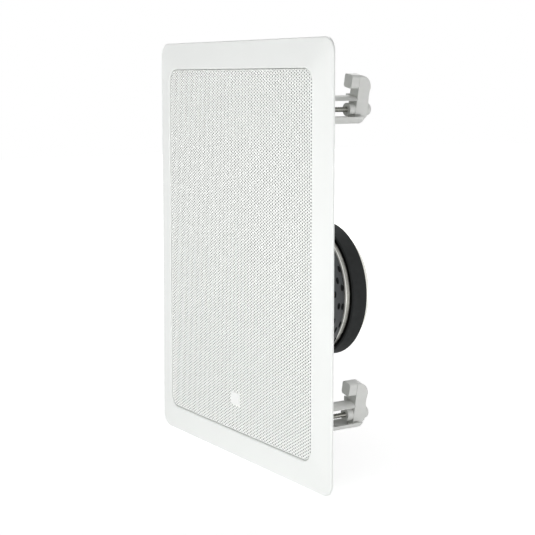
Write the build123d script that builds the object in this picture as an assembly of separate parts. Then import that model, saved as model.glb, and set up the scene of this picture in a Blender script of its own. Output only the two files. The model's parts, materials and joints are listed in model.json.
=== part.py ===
from build123d import *
import os
from math import asin, cos, hypot, pi, radians, sin, sqrt

# A two-way in-wall loudspeaker, in millimetres.
# The origin is the middle of the bezel, on the wall plane. +X is right as seen from the room,
# +Y runs into the wall and +Z is up, so the grille faces -Y.
# An outline is drawn in (x, z) as seen from the room, and a profile in (radius, depth).

# Front layout: the grille opening is stacked round the two drivers, from the bottom up
woofer_flange_radius = 104.0
tweeter_flange_radius = 23.5
side_margin = 7.0
bottom_margin = 10.3
driver_gap = 12.2
top_margin = 24.5

# Bezel moulding
bezel_side = 22.0              # border beside the opening
bezel_end = 23.0               # border above and below the opening
bezel_corner = 11.0
bezel_edge = 2.0               # thickness at the outer edge
bezel_rise = 6.0               # wall plane to the lip round the grille
opening_corner = 10.5
bevel = 0.7                    # broken edges of the moulding
wall = 2.5                     # moulded wall
foot = 2.5                     # flat strip along the outer edge that meets the wall
rib_thickness = 2.0            # stiffening ribs in the hollow behind the slope
rib_pitch = 58.0

# Baffle, the floor of the moulding that carries the drivers
baffle_depth = 7.5             # wall plane to the baffle's front face
baffle_thickness = 3.0
ledge_depth = 2.5              # wall plane to the ledge that stops the grille
ledge_width = 2.2
cutout_clearance = 0.5         # round the woofer and the tweeter barrel
collar_height = 4.5            # stiffening collar and screw bosses on the back of the baffle
collar_wall = 2.5

# Grille: a perforated sheet steel pan with a cloth scrim behind it
sheet = 0.8
grille_setback = 0.6           # below the lip
grille_clearance = 0.4
grille_bend = 1.2
perforation_pitch = 24.5       # stands for a field of fine holes at the same open share
perforation_flats = 14.5
perforation_border = 6.0
scrim_thickness = 0.5
badge_width = 12.5
badge_height = 10.5
badge_thickness = 1.0
badge_rise = 28.2              # bottom of the opening to the middle of the badge

# Woofer basket and the parts that stay still
basket_sheet = 1.5
basket_depth = 60.0            # seat on the baffle to the back of the floor
woofer_flange_width = 9.0      # rim of the flange to the mouth of the basket
basket_floor_radius = 57.0     # where the slant of the wall meets the back of the floor
basket_seat_radius = 50.5      # edge of the floor, where the sheet has turned in
basket_bend = 5.8
basket_neck_radius = 24.0
gasket_clearance = 0.5         # beside the lip of the surround
gasket_thickness = 2.6
bolt_count = 8
bolt_inset = 4.0               # from the rim of the flange
bolt_radius = 1.9
bolt_head_radius = 3.4
bolt_head_height = 2.2
vent_radius = 2.9
vent_row_pitch = 8.0           # along the slant of the wall
vent_rows = ((20, 5.5), (20, -3.4), (25, 9.3))    # count and first angle, mouth to floor
last_vent_from_floor = 9.8
spider_shelf_depth = 42.0      # seat on the baffle to the shelf
spider_shelf_width = 5.0
spider_waves = 5
spider_swing = 1.6
spider_thickness = 0.6

# Magnet assembly
top_plate_radius = 54.4
top_plate_thickness = 5.4
magnet_radius = 57.4
magnet_thickness = 15.3
magnet_bore_radius = 28.0
magnet_chamfer = 1.0
back_plate_radius = 50.0
back_plate_thickness = 7.8
plate_chamfer = 0.8
pole_radius = 17.8
pole_vent_radius = 6.0
coil_gap = 0.6                 # running clearance on both sides of the coil

# Woofer parts that move together
roll_radius = 6.4              # half-roll of the surround
roll_thickness = 0.8
surround_lip = 2.6
cone_thickness = 0.9
cone_depth = 33.0
stroke_clearance = 0.3         # between moving and still parts
former_thickness = 0.5
winding_thickness = 0.8
winding_length = 12.0
cap_radius = 27.0
cap_height = 8.0

# Tweeter
tweeter_flange_thickness = 2.5
tweeter_barrel_radius = 20.5
tweeter_barrel_depth = 14.0    # behind the flange
tweeter_mouth_radius = 19.0
dome_radius = 12.8
dome_height = 4.6
dome_seat_depth = 4.5          # face of the flange to the seat of the dome
dome_thickness = 0.5
dome_roll = 2.0                # flat ring that carries the dome
tweeter_magnet_radius = 17.0
tweeter_magnet_thickness = 12.0
retainer_radius = 26.0
retainer_thickness = 4.0

# Crossover board, its parts, and the input strip
board_width = 56.0
board_height = 60.0
board_thickness = 1.6
board_gap = 4.0                # beside the tweeter's retaining ring
board_margin = 3.0             # edge of the board to the parts on it
post_height = 6.0
post_radius = 3.2
post_inset = 5.0
small_screw_radius = 1.4
small_head_radius = 2.8
small_head_height = 1.8
coil_core_radius = 5.0
coil_outer_radius = 12.5
coil_height = 15.0
coil_flange = 1.5
capacitor_radius = 6.5
capacitor_length = 26.0
resistor_length = 24.0
resistor_side = 8.0
strip_width = 34.0
strip_height = 18.0
strip_thickness = 8.0
tab_width = 6.3
tab_thickness = 0.8
tab_length = 10.0

# Clamps: a tower with a slot, a swinging dog, and the screw that turns and pulls it
clamp_inset = 8.0              # screw axis from the side of the opening
clamp_drop = 31.5              # screw axis from the end of the opening
tower_radius = 11.0
tower_wall = 2.0
tower_length = 32.6            # behind the baffle
tower_floor = 3.0
spigot_radius = 5.5
slot_above = 6.6               # slot edges from the screw axis
swing_notch = 6.0              # depth cut from the tower's end for the dog to swing in
stop_width = 4.2
stop_reach = 12.2
stop_length = 4.5
dog_gap = 0.3                  # between the dog and the tower
dog_width = 10.5
dog_thickness = 11.2
dog_reach = 27.4
dog_waist = 0.7
dog_shoulder = 10.0
hub_reach = 8.6                # bottom of the dog below the screw
hub_flat = 0.5                 # left between the rounded corners of the hub
heel_radius = 6.0              # rounding from the bottom up to the back
pad_width = 10.0
pad_height = 10.4
pad_depth = 7.1
pad_corner = 2.0
boss_radius = 5.1
boss_length = 5.3
tail_radius = 5.0
tail_length = 4.5
tail_rounding = 2.2
screw_radius = 2.0
screw_clearance = 0.2
screw_head_radius = 4.2
screw_head_height = 3.0
screw_tip_gap = 0.8
cross_length = 4.6
cross_width = 1.1
cross_depth = 1.6
rest_lean = {                  # degrees from straight up, towards the swung-out position
    "top_right": 12.0, "bottom_right": 10.5, "top_left": 10.0, "bottom_left": 10.0,
}

# Sizes that follow from the ones above
opening_width = 2 * (woofer_flange_radius + side_margin)
opening_height = (bottom_margin + 2 * woofer_flange_radius + driver_gap
                  + 2 * tweeter_flange_radius + top_margin)
woofer_z = bottom_margin + woofer_flange_radius - opening_height / 2
tweeter_z = woofer_z + woofer_flange_radius + driver_gap + tweeter_flange_radius
bezel_width = opening_width + 2 * bezel_side
bezel_height = opening_height + 2 * bezel_end
baffle_back = baffle_depth + baffle_thickness
grille_front = grille_setback - bezel_rise
badge_z = badge_rise - opening_height / 2

basket_mouth_radius = woofer_flange_radius - woofer_flange_width
flange_front = baffle_depth - basket_sheet
floor_back = baffle_depth + basket_depth
wall_slope = (basket_mouth_radius - basket_floor_radius) / basket_depth
wall_slant = basket_sheet * hypot(1, wall_slope)      # wall thickness measured along the radius
shelf_front = baffle_depth + spider_shelf_depth
bolt_circle = woofer_flange_radius - bolt_inset
top_plate_back = floor_back + top_plate_thickness
magnet_back = top_plate_back + magnet_thickness
coil_inner = pole_radius + coil_gap
coil_outer = coil_inner + former_thickness + winding_thickness
roll_outer = basket_mouth_radius - wall_slant
roll_inner = roll_outer - 2 * roll_radius
gasket_inner = roll_outer + surround_lip + gasket_clearance
cone_rim = roll_inner - stroke_clearance
cone_neck = coil_inner + former_thickness + screw_clearance / 2
cone_slope = cone_depth / (cone_rim - cone_neck)      # depth gained for each mm towards the axis

retainer_x = retainer_radius + board_gap + board_width / 2
post_back = baffle_back + post_height
board_back = post_back + board_thickness
clamp_x = opening_width / 2 - clamp_inset
clamp_z = opening_height / 2 - clamp_drop
slot_below = dog_width / 2 + dog_gap
tower_end = baffle_back + tower_length
dog_front = tower_end - swing_notch + dog_gap
dog_back = dog_front + dog_thickness
hub_corner = (dog_width - hub_flat) / 2


def slab(outline, front, back):
    """An (x, z) outline made solid from depth y = front to y = back."""
    return extrude(Plane.XZ.offset(-back) * outline, back - front)


def turned(profile, z=0.0):
    """A (radius, depth) profile turned about the line along Y at height z."""
    return Pos(0, 0, z) * revolve(profile, Axis.Y)


def outline_of(points):
    return make_face(Polyline(*points, close=True))


def rounded(width, height, radius, depth):
    """A rounded rectangle standing at the given depth, as a section for a loft."""
    return Plane.XZ.offset(-depth) * RectangleRounded(width, height, radius)


def at_corners(width, height):
    return [(sx * width / 2, sz * height / 2) for sx in (-1, 1) for sz in (-1, 1)]


def ring_of(count, radius, first_angle=0.0):
    """Points (x, z) spaced evenly round a circle."""
    angles = [radians(first_angle + 360 * i / count) for i in range(count)]
    return [(radius * cos(a), radius * sin(a)) for a in angles]


def discs(points, radius):
    return Sketch() + [Pos(x, z) * Circle(radius) for x, z in points]


woofer_bolts = [(x, z + woofer_z) for x, z in ring_of(bolt_count, bolt_circle, 180 / bolt_count)]
board_posts = [(x - retainer_x, z + tweeter_z)
               for x, z in at_corners(board_width - 2 * post_inset, board_height - 2 * post_inset)]
strip_posts = [(retainer_x + side * (strip_width / 2 - post_radius), tweeter_z) for side in (-1, 1)]
clamp_points = at_corners(2 * clamp_x, 2 * clamp_z)


def make_bezel_frame():
    """Sloped bezel, hollow behind, with the grille recess and the baffle in one moulding."""
    body_width, body_height = opening_width + 2 * wall, opening_height + 2 * wall
    body_corner = opening_corner + wall
    edge_front = bevel - bezel_edge
    inset = 2 * bevel
    sections = [
        rounded(bezel_width, bezel_height, bezel_corner, edge_front),
        rounded(bezel_width - inset, bezel_height - inset, bezel_corner - bevel, -bezel_edge),
        rounded(opening_width + 2 * inset, opening_height + 2 * inset, opening_corner + inset, -bezel_rise),
    ]
    frame = slab(RectangleRounded(bezel_width, bezel_height, bezel_corner), edge_front, 0)
    frame += [loft(pair, ruled=True) for pair in zip(sections, sections[1:])]

    body = RectangleRounded(body_width, body_height, body_corner)
    hollow = loft([
        rounded(bezel_width - 2 * foot, bezel_height - 2 * foot, bezel_corner - foot, 0),
        rounded(body_width, body_height, body_corner, wall - bezel_rise),
    ], ruled=True) - slab(body, -bezel_rise, baffle_back)
    side_ribs = int(body_height / 2 / rib_pitch)
    end_ribs = int(body_width / 2 / rib_pitch)
    ribs = [Pos(0, i * rib_pitch) * Rectangle(bezel_width, rib_thickness)
            for i in range(-side_ribs, side_ribs + 1)]
    ribs += [Pos(i * rib_pitch, 0) * Rectangle(rib_thickness, bezel_height)
             for i in range(-end_ribs, end_ribs + 1)]
    frame -= hollow - slab(Sketch() + ribs, -bezel_rise, 0)

    frame += slab(body, wall - bezel_rise, baffle_back)
    opening = RectangleRounded(opening_width, opening_height, opening_corner)
    ledge = RectangleRounded(opening_width - 2 * ledge_width, opening_height - 2 * ledge_width,
                             opening_corner - ledge_width)
    frame -= slab(opening, -2 * bezel_rise, ledge_depth)
    frame -= slab(ledge, ledge_depth, baffle_depth)
    frame -= loft([
        rounded(opening_width + inset, opening_height + inset, opening_corner + bevel, -bezel_rise),
        rounded(opening_width, opening_height, opening_corner, bevel - bezel_rise),
    ], ruled=True)

    cutout = Pos(0, woofer_z) * Circle(basket_mouth_radius + cutout_clearance)
    collar = Pos(0, woofer_z) * Circle(basket_mouth_radius + cutout_clearance + collar_wall)
    collar += discs(woofer_bolts, bolt_inset)
    frame += slab(collar, baffle_depth, baffle_back + collar_height)
    frame += slab(discs(board_posts + strip_posts, post_radius), baffle_depth, post_back)
    holes = cutout + Pos(0, tweeter_z) * Circle(tweeter_barrel_radius + cutout_clearance)
    holes += discs(clamp_points, spigot_radius + screw_clearance)
    holes += discs(woofer_bolts, bolt_radius + screw_clearance)
    frame -= slab(holes, baffle_depth, baffle_back + collar_height)
    frame -= slab(discs(board_posts + strip_posts, small_screw_radius), baffle_back, post_back)
    return frame


def make_grille():
    """Steel pan: a holed face with its edge turned back on to the ledge."""
    width = opening_width - 2 * grille_clearance
    height = opening_height - 2 * grille_clearance
    corner = opening_corner - grille_clearance
    pan = slab(RectangleRounded(width, height, corner), grille_front, ledge_depth)
    pan = fillet(pan.edges().group_by(Axis.Y)[0], grille_bend)
    inside = RectangleRounded(width - 2 * sheet, height - 2 * sheet, corner - sheet)
    pan -= slab(inside, grille_front + sheet, ledge_depth)

    hole_radius = perforation_flats / 2
    reach_x = width / 2 - perforation_border - hole_radius
    reach_z = height / 2 - perforation_border - hole_radius
    column_pitch = perforation_pitch * sin(pi / 3)
    columns = int(reach_x / column_pitch)
    rows = int(reach_z / perforation_pitch) + 1
    holes = []
    for column in range(-columns, columns + 1):
        shift = perforation_pitch / 2 if column % 2 else 0.0
        for row in range(-rows, rows + 1):
            x, z = column * column_pitch, row * perforation_pitch + shift
            clear_of_badge = hypot(x, z - badge_z) > hole_radius + badge_width / 2
            if abs(z) <= reach_z and clear_of_badge:
                holes.append(Pos(x, z) * RegularPolygon(hole_radius, 6, major_radius=False))
    return pan - slab(Sketch() + holes, grille_front, grille_front + sheet)


def make_scrim():
    edge = 2 * (grille_clearance + sheet + screw_clearance)
    face = RectangleRounded(opening_width - edge, opening_height - edge, opening_corner - edge / 2)
    return slab(face, grille_front + sheet, grille_front + sheet + scrim_thickness)


def make_badge():
    plate = RectangleRounded(badge_width, badge_height, bevel)
    badge = slab(Pos(0, badge_z) * plate, grille_front - badge_thickness, grille_front)
    return chamfer(badge.faces().sort_by(Axis.Y)[0].edges(), bevel / 2)


def make_basket():
    """Pressed bowl with a flat flange, a shelf for the spider and staggered rows of vents."""
    bend_radius = basket_floor_radius + wall_slope * basket_bend
    basket = turned(outline_of([
        (woofer_flange_radius, flange_front), (woofer_flange_radius, baffle_depth),
        (basket_mouth_radius, baffle_depth), (bend_radius, floor_back - basket_bend),
        (basket_seat_radius, floor_back), (basket_neck_radius, floor_back),
        (basket_neck_radius, floor_back - basket_sheet), (basket_seat_radius - bevel, floor_back - basket_sheet),
        (bend_radius - wall_slant, floor_back - basket_bend),
        (basket_mouth_radius + wall_slope * basket_sheet - wall_slant, flange_front),
    ]))
    shelf_outer = basket_mouth_radius - wall_slope * spider_shelf_depth - wall_slant / 2
    shelf_inner = shelf_outer - wall_slant / 2 - spider_shelf_width
    basket += turned(outline_of([
        (shelf_inner, shelf_front), (shelf_outer, shelf_front),
        (shelf_outer - wall_slope * basket_sheet, shelf_front + basket_sheet),
        (shelf_inner, shelf_front + basket_sheet),
    ]))
    slant = hypot(1, wall_slope)
    cutters = []
    for row, (count, first_angle) in enumerate(reversed(vent_rows)):
        above_floor = last_vent_from_floor + row * vent_row_pitch
        depth = floor_back - above_floor / slant
        radius = basket_floor_radius + wall_slope * above_floor / slant
        for i in range(count):
            square_on = Plane(origin=(radius, depth, 0), z_dir=(1, wall_slope, 0))
            pin = square_on * Cylinder(vent_radius, 4 * basket_sheet)
            cutters.append(Rot(0, -first_angle - 360 * i / count, 0) * pin)
    basket -= cutters
    basket = Pos(0, 0, woofer_z) * basket
    return basket - slab(discs(woofer_bolts, bolt_radius + screw_clearance), flange_front, baffle_depth)


def make_gasket():
    ring = Circle(woofer_flange_radius) - Circle(gasket_inner)
    ring = Pos(0, woofer_z) * ring - discs(woofer_bolts, bolt_radius + screw_clearance)
    return slab(ring, flange_front - gasket_thickness, flange_front)


def make_woofer_screws():
    head_back = flange_front - gasket_thickness
    heads = slab(discs(woofer_bolts, bolt_head_radius), head_back - bolt_head_height, head_back)
    shanks = slab(discs(woofer_bolts, bolt_radius), head_back, baffle_back + collar_height)
    return heads + shanks


def make_surround():
    """Half-roll of rubber, with a flat lip on the basket's flange."""
    middle = roll_outer - roll_radius
    lip_front = flange_front - roll_thickness
    outer, inner = roll_radius, roll_radius - roll_thickness
    roll = make_face([
        ThreePointArc((middle - outer, lip_front), (middle, lip_front - outer), (middle + outer, lip_front)),
        Polyline((middle + outer, lip_front), (roll_outer + surround_lip, lip_front),
                 (roll_outer + surround_lip, flange_front), (middle + inner, flange_front),
                 (middle + inner, lip_front)),
        ThreePointArc((middle + inner, lip_front), (middle, lip_front - inner), (middle - inner, lip_front)),
        Polyline((middle - inner, lip_front), (middle - inner, flange_front),
                 (middle - outer, flange_front), (middle - outer, lip_front)),
    ])
    return turned(roll, woofer_z)


def make_cone():
    rim_front = flange_front - roll_thickness
    slant = cone_thickness * hypot(1, cone_slope)
    return turned(outline_of([
        (cone_rim, rim_front), (cone_rim, rim_front + slant),
        (cone_neck, rim_front + cone_depth + slant), (cone_neck, rim_front + cone_depth),
    ]), woofer_z)


def dome_profile(radius, height, thickness, seat):
    """Half section of a spherical shell that bulges forward from its seat depth."""
    sphere = (radius ** 2 + height ** 2) / (2 * height)
    centre = seat - height + sphere
    inner = sphere - thickness
    inner_rim = sqrt(inner ** 2 - (centre - seat) ** 2)

    def bow(ball, rim):
        half = asin(rim / ball) / 2
        return ball * sin(half), centre - ball * cos(half)

    return make_face([
        ThreePointArc((0, centre - sphere), bow(sphere, radius), (radius, seat)),
        Line((radius, seat), (inner_rim, seat)),
        ThreePointArc((inner_rim, seat), bow(inner, inner_rim), (0, centre - inner)),
        Line((0, centre - inner), (0, centre - sphere)),
    ])


def make_dust_cap():
    """Domed cap that sits on the front of the cone."""
    seat = flange_front - roll_thickness + cone_slope * (cone_rim - cap_radius) - screw_clearance / 2
    return turned(dome_profile(cap_radius, cap_height, cone_thickness, seat), woofer_z)


def make_voice_coil():
    """Thin former glued into the neck of the cone, wound where it runs in the gap."""
    former_outer = coil_inner + former_thickness
    start = flange_front - roll_thickness + cone_depth
    wound_from = floor_back + (top_plate_thickness - winding_length) / 2
    wound_to = wound_from + winding_length
    return turned(outline_of([
        (coil_inner, start), (former_outer, start), (former_outer, wound_from), (coil_outer, wound_from),
        (coil_outer, wound_to), (coil_inner, wound_to),
    ]), woofer_z)


def make_spider():
    """Corrugated cloth ring between the shelf of the basket and the coil former."""
    inner = coil_inner + former_thickness + stroke_clearance
    shelf_outer = basket_mouth_radius - wall_slope * spider_shelf_depth - wall_slant
    outer = shelf_outer - stroke_clearance
    flat = outer - spider_shelf_width
    step = (flat - inner) / (2 * spider_waves)
    middle = shelf_front - spider_thickness
    front = [(inner + i * step, middle + spider_swing * (-1) ** i - spider_swing)
             for i in range(2 * spider_waves)]
    front += [(flat, middle), (outer, middle)]
    back = [(r, y + spider_thickness) for r, y in reversed(front)]
    return turned(outline_of(front + back), woofer_z)


def make_top_plate():
    c = plate_chamfer
    return turned(outline_of([
        (coil_outer + coil_gap, floor_back), (top_plate_radius - c, floor_back),
        (top_plate_radius, floor_back + c), (top_plate_radius, top_plate_back - c),
        (top_plate_radius - c, top_plate_back), (coil_outer + coil_gap, top_plate_back),
    ]), woofer_z)


def make_magnet():
    c = magnet_chamfer
    return turned(outline_of([
        (magnet_bore_radius, top_plate_back), (magnet_radius - c, top_plate_back),
        (magnet_radius, top_plate_back + c), (magnet_radius, magnet_back - c),
        (magnet_radius - c, magnet_back), (magnet_bore_radius, magnet_back),
    ]), woofer_z)


def make_back_plate():
    """Back plate and vented pole, turned from one piece."""
    c = plate_chamfer
    rear = magnet_back + back_plate_thickness
    return turned(outline_of([
        (pole_vent_radius, floor_back), (pole_radius, floor_back), (pole_radius, magnet_back),
        (back_plate_radius, magnet_back), (back_plate_radius, rear - c), (back_plate_radius - c, rear),
        (pole_vent_radius + c, rear), (pole_vent_radius, rear - c),
    ]), woofer_z)


def make_tweeter_housing():
    """Flanged barrel with a flared mouth and a seat for the dome."""
    front = baffle_depth - tweeter_flange_thickness
    seat = front + dome_seat_depth
    back = baffle_depth + tweeter_barrel_depth
    throat = dome_radius + dome_roll
    return turned(outline_of([
        (tweeter_mouth_radius, front), (tweeter_flange_radius - bevel, front),
        (tweeter_flange_radius, front + bevel), (tweeter_flange_radius, baffle_depth),
        (tweeter_barrel_radius, baffle_depth), (tweeter_barrel_radius, back), (dome_radius - dome_roll, back),
        (dome_radius - dome_roll, seat + dome_thickness), (throat, seat + dome_thickness), (throat, seat),
    ]), tweeter_z)


def make_tweeter_dome():
    """Thin metal dome on the flat ring that carries it."""
    seat = baffle_depth - tweeter_flange_thickness + dome_seat_depth
    edge = dome_radius + dome_roll - screw_clearance / 2
    ring = Circle(edge) - Circle(dome_radius - dome_thickness)
    carrier = slab(Pos(0, tweeter_z) * ring, seat, seat + dome_thickness)
    return carrier + turned(dome_profile(dome_radius, dome_height, dome_thickness, seat), tweeter_z)


def make_tweeter_magnet():
    front = baffle_depth + tweeter_barrel_depth
    disc = slab(Pos(0, tweeter_z) * Circle(tweeter_magnet_radius), front, front + tweeter_magnet_thickness)
    return chamfer(disc.faces().sort_by(Axis.Y)[-1].edges(), plate_chamfer)


def make_tweeter_retainer():
    """Push-on ring that holds the tweeter's barrel against the back of the baffle."""
    ring = Circle(retainer_radius) - Circle(tweeter_barrel_radius + screw_clearance / 2)
    notches = discs(ring_of(6, retainer_radius), bolt_inset / 2)
    return slab(Pos(0, tweeter_z) * (ring - notches), baffle_back, baffle_back + retainer_thickness)


def make_crossover_board():
    board = RectangleRounded(board_width, board_height, bevel)
    board = Pos(-retainer_x, tweeter_z) * board - discs(board_posts, small_screw_radius + screw_clearance)
    return slab(board, post_back, board_back)


def make_board_screws():
    points = board_posts
    heads = slab(discs(points, small_head_radius), board_back, board_back + small_head_height)
    return heads + slab(discs(points, small_screw_radius - screw_clearance / 2), baffle_back, board_back)


def make_crossover_coil():
    """Bobbin of enamelled wire standing on the board."""
    z = board_height / 2 - board_margin - coil_outer_radius
    bobbin = Circle(coil_outer_radius) - Circle(coil_core_radius)
    winding = Circle(coil_outer_radius - coil_flange) - Circle(coil_core_radius)
    place = Pos(-retainer_x, tweeter_z + z)
    top = board_back + coil_height
    coil = slab(place * bobbin, board_back, board_back + coil_flange)
    coil += slab(place * winding, board_back + coil_flange, top - coil_flange)
    return coil + slab(place * bobbin, top - coil_flange, top)


def lying_cylinder(radius, length, x, z):
    """A can lying along X on the back of the board."""
    can = Pos(x, board_back + radius, z) * Rot(0, 90, 0) * Cylinder(radius, length)
    return chamfer(can.edges(), plate_chamfer)


def make_capacitors():
    """Two cans, one above the other."""
    z = tweeter_z - board_height / 2 + board_margin + capacitor_radius
    pitch = 2 * capacitor_radius + screw_clearance
    return Part() + [lying_cylinder(capacitor_radius, capacitor_length, -retainer_x, z + i * pitch)
                     for i in range(2)]


def make_resistor():
    x = -retainer_x + board_width / 2 - resistor_side
    body = Pos(x, tweeter_z) * Rectangle(resistor_side, resistor_length)
    return slab(body, board_back, board_back + resistor_side)


def make_input_strip():
    """Insulating strip on two posts, holding a pair of push-on tabs."""
    block = Pos(retainer_x, tweeter_z) * Rectangle(strip_width, strip_height)
    strip = slab(block - discs(strip_posts, small_screw_radius + screw_clearance), post_back,
                 post_back + strip_thickness)
    tab_points = [(retainer_x + side * tab_width, tweeter_z) for side in (-1, 1)]
    slots = Sketch() + [Pos(x, z) * Rectangle(tab_thickness, tab_width) for x, z in tab_points]
    return strip - slab(slots, post_back + strip_thickness / 2, post_back + strip_thickness)


def make_input_tabs():
    start = post_back + strip_thickness / 2
    tab_points = [(retainer_x + side * tab_width, tweeter_z) for side in (-1, 1)]
    tabs = Sketch() + [Pos(x, z) * Rectangle(tab_thickness, tab_width) for x, z in tab_points]
    return slab(tabs, start, start + strip_thickness / 2 + tab_length)


def make_strip_screws():
    back = post_back + strip_thickness
    heads = slab(discs(strip_posts, small_head_radius), back, back + small_head_height)
    return heads + slab(discs(strip_posts, small_screw_radius - screw_clearance / 2), baffle_back, back)


def make_tower():
    """Tube slotted right through: the dog is drawn along the slot after it has swung into line with it."""
    bore = tower_radius - tower_wall
    slot_front = baffle_back + tower_floor
    tower = slab(Circle(tower_radius) - Circle(bore), baffle_back, tower_end)
    tower += slab(Circle(tower_radius), baffle_back, slot_front)
    tower += slab(Circle(spigot_radius), baffle_depth, baffle_back)
    slot = Pos(0, (slot_above - slot_below) / 2) * Rectangle(2 * tower_radius, slot_above + slot_below)
    tower -= slab(slot, slot_front, tower_end)

    notch_front = tower_end - swing_notch
    reach = 2 * tower_radius
    notch = Pos(reach / 2 - slot_below, reach / 2 - slot_below) * Rectangle(reach, reach)
    tower -= slab(notch, notch_front, tower_end)
    stop_foot = bore - tower_wall
    stop = Pos(-slot_below - stop_width / 2, (stop_foot + stop_reach) / 2)
    stop_block = slab(stop * Rectangle(stop_width, stop_reach - stop_foot), tower_end - stop_length, tower_end)
    tower += stop_block - slab(Circle(bore), baffle_back, tower_end)
    return tower - slab(Circle(screw_radius + screw_clearance), baffle_depth, slot_front)


def make_dog():
    """Dog-leg clamp pointing up: hub on the screw, arm, and the pad that grips the wall panel."""
    plate = Pos(0, (dog_reach - hub_reach) / 2) * Rectangle(dog_width, dog_reach + hub_reach)
    plate = fillet(plate.vertices().group_by(Axis.Y)[-1], pad_corner)
    plate = fillet(plate.vertices().group_by(Axis.Y)[0], hub_corner)
    arm = slab(plate, dog_front, dog_back)
    waist_low, waist_high = tail_radius, dog_reach - dog_shoulder
    heel_back, heel_bottom = (dog_back, heel_radius - hub_reach), (dog_back - heel_radius, -hub_reach)
    side = make_face([
        Line((dog_back, waist_low), heel_back),
        RadiusArc(heel_back, heel_bottom, heel_radius),
        Polyline(heel_bottom, (dog_front, -hub_reach), (dog_front, dog_reach),
                 (dog_back - dog_shoulder, dog_reach)),
        RadiusArc((dog_back - dog_shoulder, dog_reach), (dog_back, waist_high), dog_shoulder),
        ThreePointArc((dog_back, waist_high), (dog_back - dog_waist, (waist_low + waist_high) / 2),
                      (dog_back, waist_low)),
    ])
    arm &= extrude(Plane.YZ * side, dog_width, both=True)

    pad_front = dog_front - pad_depth
    pad = Pos(0, dog_reach - pad_height / 2) * RectangleRounded(pad_width, pad_height, pad_corner)
    dog = arm + slab(pad, pad_front, dog_front)
    dog += slab(Circle(boss_radius), dog_front - boss_length, dog_front)
    tail = slab(Circle(tail_radius), dog_back - heel_radius, dog_back + tail_length)
    dog += fillet(tail.faces().sort_by(Axis.Y)[-1].edges(), tail_rounding)
    bore_end = dog_back + tail_length - tail_rounding
    return dog - slab(Circle(screw_radius + screw_clearance), dog_front - boss_length, bore_end)


def make_clamp_screw():
    head_back = baffle_depth - screw_clearance
    tip = dog_back + tail_length - tail_rounding - screw_tip_gap
    head = slab(Circle(screw_head_radius), head_back - screw_head_height, head_back)
    head = chamfer(head.faces().sort_by(Axis.Y)[0].edges(), plate_chamfer)
    cross = Rectangle(cross_length, cross_width) + Rectangle(cross_width, cross_length)
    head -= slab(cross, head_back - screw_head_height, head_back - screw_head_height + cross_depth)
    return head + slab(Circle(screw_radius), head_back, tip)


def make_clamp(corner):
    """Tower, dog and screw of one corner. A left-hand clamp is a right-hand one turned half round."""
    side = 1 if corner.endswith("right") else -1
    end = 1 if corner.startswith("top") else -1
    place = Pos(side * clamp_x, 0, end * clamp_z) * Rot(0, 0 if side > 0 else 180, 0)
    return {
        "clamp_tower_" + corner: place * make_tower(),
        "clamp_dog_" + corner: place * Rot(0, rest_lean[corner], 0) * make_dog(),
        "clamp_screw_" + corner: place * make_clamp_screw(),
    }


parts = {
    "bezel_frame": make_bezel_frame(),
    "grille": make_grille(),
    "grille_scrim": make_scrim(),
    "badge_plate": make_badge(),
    "woofer_basket": make_basket(),
    "woofer_gasket": make_gasket(),
    "woofer_screws": make_woofer_screws(),
    "woofer_surround": make_surround(),
    "woofer_cone": make_cone(),
    "woofer_dust_cap": make_dust_cap(),
    "woofer_voice_coil": make_voice_coil(),
    "woofer_spider": make_spider(),
    "woofer_top_plate": make_top_plate(),
    "woofer_magnet": make_magnet(),
    "woofer_back_plate": make_back_plate(),
    "tweeter_housing": make_tweeter_housing(),
    "tweeter_dome": make_tweeter_dome(),
    "tweeter_magnet": make_tweeter_magnet(),
    "tweeter_retainer": make_tweeter_retainer(),
    "crossover_board": make_crossover_board(),
    "crossover_screws": make_board_screws(),
    "crossover_coil": make_crossover_coil(),
    "crossover_capacitors": make_capacitors(),
    "crossover_resistor": make_resistor(),
    "input_strip": make_input_strip(),
    "input_tabs": make_input_tabs(),
    "input_screws": make_strip_screws(),
}
for corner in rest_lean:
    parts.update(make_clamp(corner))

os.makedirs("parts", exist_ok=True)
for name, solid in parts.items():
    export_step(solid, os.path.join("parts", name + ".step"))
print(f"{len(parts)} pieces, bezel {bezel_width:.1f} x {bezel_height:.1f} mm")
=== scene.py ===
# %% [markdown]
# # Dressing an in-wall loudspeaker
# The solids come from CAD and stay where they are. This notebook gives each of them the finish of its real
# material, and makes what is too fine for the solids: the perforated sheet and the cloth behind it, screw threads,
# wound wire, a cast resistor and stamped tabs.

import json
from math import cos, pi, radians, sin, sqrt

import bpy
import numpy as np
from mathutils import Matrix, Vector
from mathutils.geometry import delaunay_2d_cdt


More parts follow.
